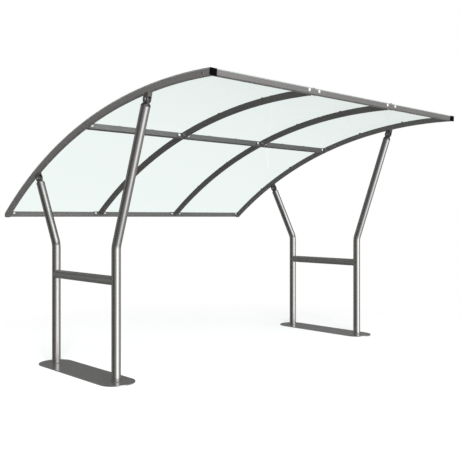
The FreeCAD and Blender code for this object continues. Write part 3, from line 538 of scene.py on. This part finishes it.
# The zinc of heads in the open is paler and half metallic, so that they stay light dots: painted
# highlight.
painted_highlight_zinc = zinc("pale_zinc_plate_painted_highlight", colour="F4F5F6", dull="E2E3E5", metallic=0.45, rough=0.34)
for label, grids, finish in (("rail_bolt_heads", rail_heads, painted_highlight_zinc),
                             ("rail_bolt_nuts", rail_nuts, bright_zinc),
                             ("cleat_bolt_heads", cleat_heads, painted_highlight_zinc),
                             ("cleat_bolt_nuts", cleat_nuts, bright_zinc),
                             ("rib_bolt_heads", rib_heads, bright_zinc)):
    surface(label, np.array(grids), finish, (False, True))

# Roof sheets. Three clear polycarbonate sheets, 5 mm thick and extruded flat, are bent
# cold over the ribs. They are almost colourless, with a breath of green in their thickness
# and a faint roller texture. Small grey moulded buttons, screwed down, hold them.

CLEAR_GREEN = "F9FDFC"
ROLLER_SIZE = 0.3
ROLLER_HEIGHT = 0.0002
GLEAM_STEEPNESS = 5.0
GLEAM_LEAST = 0.01
GLEAM_MOST = 0.2
SAWN_GREEN = "565D5A"
SAWN_SLOPE = 0.7
BUTTON_GREY = "565656"
BUTTON_GREY_WORN = "626262"
BUTTON_SEAT = 0.0052
WORN_SIZE = 0.03
END_BUTTON_INSET = 0.008
# Spark-eroded grain is a tenth of a millimetre wide. It is drawn coarser, so that it shows.
MOULD_GRAIN = 0.0012
MOULD_GRAIN_DEPTH = 0.00005


def clear_sheet():
    """Clear extruded sheet: each face tints what is seen through it, and gleams more when seen
    nearly edge on. Roller waves bend that gleam a little. The long sawn edges, which face along
    the shelter, are dull and dark."""
    material, tree, place = new_material("clear_polycarbonate")
    waves = add_node(tree, "ShaderNodeTexNoise",
                     {"Vector": place, "Scale": 1 / ROLLER_SIZE, "Detail": 1.0})
    drawn = add_node(tree, "ShaderNodeBump",
                     {"Height": waves.outputs["Fac"], "Distance": ROLLER_HEIGHT, "Strength": 1.0})
    haze = add_node(tree, "ShaderNodeMapRange",
                    {"Value": waves.outputs["Fac"], "To Min": 0.03, "To Max": 0.07})
    edge_on = add_node(tree, "ShaderNodeLayerWeight",
                       {"Blend": 0.5, "Normal": drawn.outputs["Normal"]})
    steep = add_node(tree, "ShaderNodeMath", {0: edge_on.outputs["Facing"], 1: GLEAM_STEEPNESS},
                     operation="POWER")
    part = add_node(tree, "ShaderNodeMapRange",
                    {"Value": steep.outputs[0], "To Min": GLEAM_LEAST, "To Max": GLEAM_MOST})
    through = add_node(tree, "ShaderNodeBsdfTransparent", {"Color": linear(CLEAR_GREEN)})
    gleam = add_node(tree, "ShaderNodeBsdfGlossy",
                     {"Color": linear("FFFFFF"), "Roughness": haze.outputs["Result"],
                      "Normal": drawn.outputs["Normal"]})
    sheet = add_node(tree, "ShaderNodeMixShader",
                     {0: part.outputs["Result"], 1: through.outputs["BSDF"], 2: gleam.outputs["BSDF"]})
    facing = add_node(tree, "ShaderNodeSeparateXYZ",
                      {"Vector": tree.nodes.new("ShaderNodeTexCoord").outputs["Normal"]})
    endways = add_node(tree, "ShaderNodeMath", {0: facing.outputs["X"]}, operation="ABSOLUTE")
    sawn = add_node(tree, "ShaderNodeMath", {0: endways.outputs[0], 1: SAWN_SLOPE},
                    operation="GREATER_THAN")
    edge = add_node(tree, "ShaderNodeBsdfPrincipled",
                    {"Base Color": linear(SAWN_GREEN), "Roughness": 0.45})
    whole = add_node(tree, "ShaderNodeMixShader",
                     {0: sawn.outputs[0], 1: sheet.outputs["Shader"], 2: edge.outputs["BSDF"]})
    finish_material(tree, whole.outputs["Shader"])
    return material


def moulded_plastic(name, colour, worn, rough, shine, grain):
    """Moulded plastic or rubber: an even colour, slightly paler in patches where it is worn, with a
    fine grain that dulls it."""
    material, tree, place = new_material(name)
    patches = add_node(tree, "ShaderNodeTexNoise",
                       {"Vector": place, "Scale": 1 / WORN_SIZE, "Detail": 2.0})
    tint = add_node(tree, "ShaderNodeMix",
                    {0: patches.outputs["Fac"], 6: linear(colour), 7: linear(worn)},
                    data_type="RGBA")
    grains = add_node(tree, "ShaderNodeTexNoise",
                      {"Vector": place, "Scale": 1 / grain, "Detail": 2.0})
    dents = add_node(tree, "ShaderNodeBump",
                     {"Height": grains.outputs["Fac"], "Distance": MOULD_GRAIN_DEPTH, "Strength": 1.0})
    plastic = add_node(tree, "ShaderNodeBsdfPrincipled",
                       {"Base Color": tint.outputs[2], "Roughness": rough,
                        "Specular IOR Level": shine, "Normal": dents.outputs["Normal"]})
    finish_material(tree, plastic.outputs["BSDF"])
    return material


finish_nodes(clear_sheet(), [bay + "_roof_sheet" for bay in BAYS])
button_plastic = moulded_plastic("grey_moulded_nylon", colour=BUTTON_GREY, worn=BUTTON_GREY_WORN,
                                 rough=0.5, shine=0.5, grain=MOULD_GRAIN)
BUTTON = dome(radius=0.008, height=0.005, washer_radius=0.012, washer=0.0015)
lines = [roof_angle((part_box(name)[0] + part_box(name)[1]) / 2)
         for name in ("front_rail", "middle_purlin", "rear_rail")]
spots = []
for rib, x in RIB_X.items():
    inset = 0.0 if rib in INNER_RIBS else math.copysign(END_BUTTON_INSET, x)
    for start, stop in zip(lines, lines[1:]):
        spots += [(x - inset, start + (stop - start) * part) for part in (1 / 3, 2 / 3)]
pitch = RIB_X["right_inner_rib"] - RIB_X["left_inner_rib"]
for bay in BAYS:
    low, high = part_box(bay + "_purlin")
    spots += [((low.x + high.x) / 2 + step * pitch / 6, lines[1]) for step in (-1, 1)]
buttons = [turned(BUTTON, on_roof(x, angle, ROOF_RADIUS + BUTTON_SEAT), roof_ways(angle)[0])
           for x, angle in spots]
surface("sheet_buttons", np.array(buttons), button_plastic, (False, True))

# Seals. A strip of grey EPDM rubber is pressed between each rail or purlin and the sheets, so
# that they neither rattle nor leak. Extruded and left matt, it bulges a little over the
# rounded edges of the tube under it.

SEAL_GREY = "83817F"
SEAL_GREY_WORN = "8B8A88"
SEAL_SINK = 0.0035
SEAL_INSET = 0.0015
SEAL_CORNER = 0.001
SEAL_STEPS = 40
# Matt rubber has no grain that shows, only a soft bloom in patches of about 30 mm.
SEAL_BLOOM = 0.03


def strip(rail):
    """A rubber strip: a rounded rectangle across the roof, from just under the top of a tube to
    the underside of the sheets, carried straight along the tube and closed at both ends."""
    points = np.array([vertex.co for vertex in nodes[rail].data.vertices])
    low, high = points.min(axis=0), points.max(axis=0)
    angle = roof_angle((low + high) / 2)
    outward, back = roof_ways(angle)
    axis = np.array([0, CROWN_Y, AXIS_Z])
    across, rise = (points - axis) @ back, (points - axis) @ outward
    seat = rise.max() - SEAL_SINK
    a, b, _ = loop((across.max() - across.min()) / 2 - SEAL_INSET, (ROOF_RADIUS - seat) / 2,
                   SEAL_CORNER, SEAL_STEPS)
    middle = (across.max() + across.min()) / 2
    size = np.array([0, 1, 1, 0])[:, None]
    x = np.array([low[0], low[0], high[0], high[0]])[:, None]
    return on_roof(x, angle, (ROOF_RADIUS + seat) / 2 + size * b, middle + size * a)


rubber = moulded_plastic("grey_extruded_rubber", colour=SEAL_GREY, worn=SEAL_GREY_WORN,
                         rough=0.75, shine=0.3, grain=SEAL_BLOOM)
SEALED = ["front_rail", "rear_rail"] + [bay + "_purlin" for bay in BAYS]
surface("seals", np.array([strip(rail) for rail in SEALED]), rubber, (False, True))

# Rib caps. A black nylon cap with a plug closes the front of each end rib. It is injection
# moulded with a fine matt grain and pushed in by hand.

CAP_BLACK = "040404"
CAP_BLACK_WORN = "080808"
cap_plastic = moulded_plastic("black_moulded_nylon", colour=CAP_BLACK, worn=CAP_BLACK_WORN,
                              rough=0.7, shine=0.04, grain=MOULD_GRAIN)
finish_nodes(cap_plastic, [side + "_rib_cap" for side in SIDES])

# The studio. A wide, plain, white floor keeps the shelter's shadow and runs out to pure white
# far behind it. Soft light comes from all round, and from one large soft box in front of the
# shelter. Polished metal mirrors a bright side and a dark one.

FLOOR_HALF = 40.0
FLOOR_DROP = 0.0005
FLOOR_WHITE = "F8F8F8"
FADE_START = 1.6
FADE_END = 4.2
SOFT_LEVEL = 0.9
KEY_POWER = 420.0
KEY_WIDTH = 5.0
KEY_HEIGHT = 3.0
KEY_PLACE = (-3.5, -5.5, 5.5)
KEY_TURN = (math.radians(48), 0, math.radians(-32))


def studio_floor():
    """White paper near the shelter. For the camera and what it sees through the sheets, it fades to
    bare white with the distance from the middle, along a smooth step."""
    material, tree, place = new_material("white_floor")
    distance = add_node(tree, "ShaderNodeVectorMath", {0: place}, operation="LENGTH")
    fade = add_node(tree, "ShaderNodeMapRange",
                    {"Value": distance.outputs["Value"], "From Min": FADE_START, "From Max": FADE_END},
                    interpolation_type="SMOOTHSTEP")
    ray = tree.nodes.new("ShaderNodeLightPath")
    seen = add_node(tree, "ShaderNodeMath",
                    {0: ray.outputs["Is Camera Ray"], 1: ray.outputs["Is Transmission Ray"]},
                    operation="MAXIMUM")
    part = add_node(tree, "ShaderNodeMath",
                    {0: fade.outputs["Result"], 1: seen.outputs[0]}, operation="MULTIPLY")
    paper = add_node(tree, "ShaderNodeBsdfDiffuse", {"Color": linear(FLOOR_WHITE)})
    bare = add_node(tree, "ShaderNodeEmission", {"Strength": 1.0})
    mixed = add_node(tree, "ShaderNodeMixShader",
                     {0: part.outputs[0], 1: paper.outputs["BSDF"], 2: bare.outputs["Emission"]})
    finish_material(tree, mixed.outputs["Shader"])
    return material


floor_mesh = bpy.data.meshes.new("floor")
corners = np.array([(-1, -1), (1, -1), (1, 1), (-1, 1)]) * FLOOR_HALF
corners = np.column_stack([corners, np.full(4, -FLOOR_DROP)])
floor_mesh.from_pydata(corners, [], [(0, 1, 2, 3)])
floor_mesh.materials.append(studio_floor())
floor = bpy.data.objects.new("floor", floor_mesh)
bpy.context.scene.collection.objects.link(floor)
floor.visible_glossy = False

# What polished metal sees of the studio: bearings in degrees from +X with their brightness, and
# the share of it at heights from straight down, -1, to straight up, 1.
SURROUND = ((0, 0.32), (20, 0.25), (46, 0.16), (62, 0.16), (78, 0.2), (95, 0.2), (110, 0.16),
            (120, 0.22), (133, 0.22), (157, 0.05), (175, 0.07), (190, 0.13), (215, 0.27), (240, 0.66),
            (256, 1.8), (264, 2.05), (289, 2.05), (301, 1.0), (309, 0.56), (320, 0.48), (330, 0.41),
            (360, 0.32))
BY_HEIGHT = ((-1.0, 1.2), (-0.85, 1.0), (-0.72, 0.4), (-0.3, 0.95), (0.2, 1.0), (0.28, 0.35),
             (0.42, 0.35), (0.5, 1.0), (1.0, 1.0))
BRIGHTEST = max(brightness for _, brightness in SURROUND)
world = bpy.data.worlds.new("studio")
bpy.context.scene.world = world
world.use_nodes = True
sky = world.node_tree
sky.nodes.clear()
way = add_node(sky, "ShaderNodeSeparateXYZ",
               {"Vector": sky.nodes.new("ShaderNodeTexCoord").outputs["Generated"]})
bearing = add_node(sky, "ShaderNodeMath", {0: way.outputs["Y"], 1: way.outputs["X"]},
                   operation="ARCTAN2")
turns = add_node(sky, "ShaderNodeMath", {0: bearing.outputs[0], 1: 2 * math.pi}, operation="DIVIDE")
round_turn = add_node(sky, "ShaderNodeMath", {0: turns.outputs[0], 1: 1.0}, operation="FRACT")


def grey_ramp(tree, factor, places, greys):
    """A colour ramp with a grey at each place from 0 to 1."""
    ramp = add_node(tree, "ShaderNodeValToRGB", {"Fac": factor})
    stops = ramp.color_ramp.elements
    while len(stops) < len(places):
        stops.new(0.5)
    for stop, place in zip(stops, places):
        stop.position = place
    for stop, grey in zip(stops, greys):
        stop.color = (grey, grey, grey, 1)
    return ramp.outputs["Color"]


all_round = grey_ramp(sky, round_turn.outputs[0], [degrees / 360 for degrees, _ in SURROUND],
                      [brightness / BRIGHTEST for _, brightness in SURROUND])
raised = add_node(sky, "ShaderNodeMapRange",
                  {"Value": way.outputs["Z"], "From Min": -1.0, "From Max": 1.0})
up_and_down = grey_ramp(sky, raised.outputs["Result"], [(height + 1) / 2 for height, _ in BY_HEIGHT],
                        [part for _, part in BY_HEIGHT])
strength = add_node(sky, "ShaderNodeMath", {0: up_and_down, 1: BRIGHTEST}, operation="MULTIPLY")
studio = add_node(sky, "ShaderNodeBackground",
                  {"Color": all_round, "Strength": strength.outputs[0]})
ray = sky.nodes.new("ShaderNodeLightPath")
soft = add_node(sky, "ShaderNodeBackground", {"Color": linear("FFFFFF"), "Strength": SOFT_LEVEL})
white = add_node(sky, "ShaderNodeBackground", {"Color": linear("FFFFFF"), "Strength": 1.0})
lit = add_node(sky, "ShaderNodeMixShader",
               {0: ray.outputs["Is Glossy Ray"], 1: soft.outputs[0], 2: studio.outputs[0]})
seen = add_node(sky, "ShaderNodeMath",
                {0: ray.outputs["Is Camera Ray"], 1: ray.outputs["Is Transmission Ray"]},
                operation="MAXIMUM")
shown = add_node(sky, "ShaderNodeMixShader",
                 {0: seen.outputs[0], 1: lit.outputs[0], 2: white.outputs[0]})
world_output = sky.nodes.new("ShaderNodeOutputWorld")
sky.links.new(shown.outputs[0], world_output.inputs["Surface"])

key_data = bpy.data.lights.new("key", "AREA")
key_data.shape = "RECTANGLE"
key_data.size = KEY_WIDTH
key_data.size_y = KEY_HEIGHT
key_data.energy = KEY_POWER
key = bpy.data.objects.new("key", key_data)
bpy.context.scene.collection.objects.link(key)
key.location = KEY_PLACE
key.rotation_euler = KEY_TURN
key.visible_glossy = False

# The camera stands in front of the left end at 1.34 m, with its axis level. Its place, bearing,
# lens and horizon row, in pixels, are solved from the straight edges in the photograph, so that
# posts, ribs and rails fall where they do there.

CAMERA_PLACE = (-4.7486, -5.0407, 1.3418)
CAMERA_BEARING = 46.59
FOCAL_PIXELS = 681.0
FRAME_PIXELS = 460
HORIZON_ROW = 216.6
camera_data = bpy.data.cameras.new("camera")
camera_data.sensor_width = 36.0
camera_data.lens = FOCAL_PIXELS / FRAME_PIXELS * camera_data.sensor_width
camera_data.shift_y = (HORIZON_ROW - FRAME_PIXELS / 2) / FRAME_PIXELS
camera = bpy.data.objects.new("camera", camera_data)
bpy.context.scene.collection.objects.link(camera)
camera.location = CAMERA_PLACE
camera.rotation_euler = (math.radians(90), 0, math.radians(CAMERA_BEARING - 90))
bpy.context.scene.camera = camera
bpy.context.scene.view_settings.view_transform = "Standard"
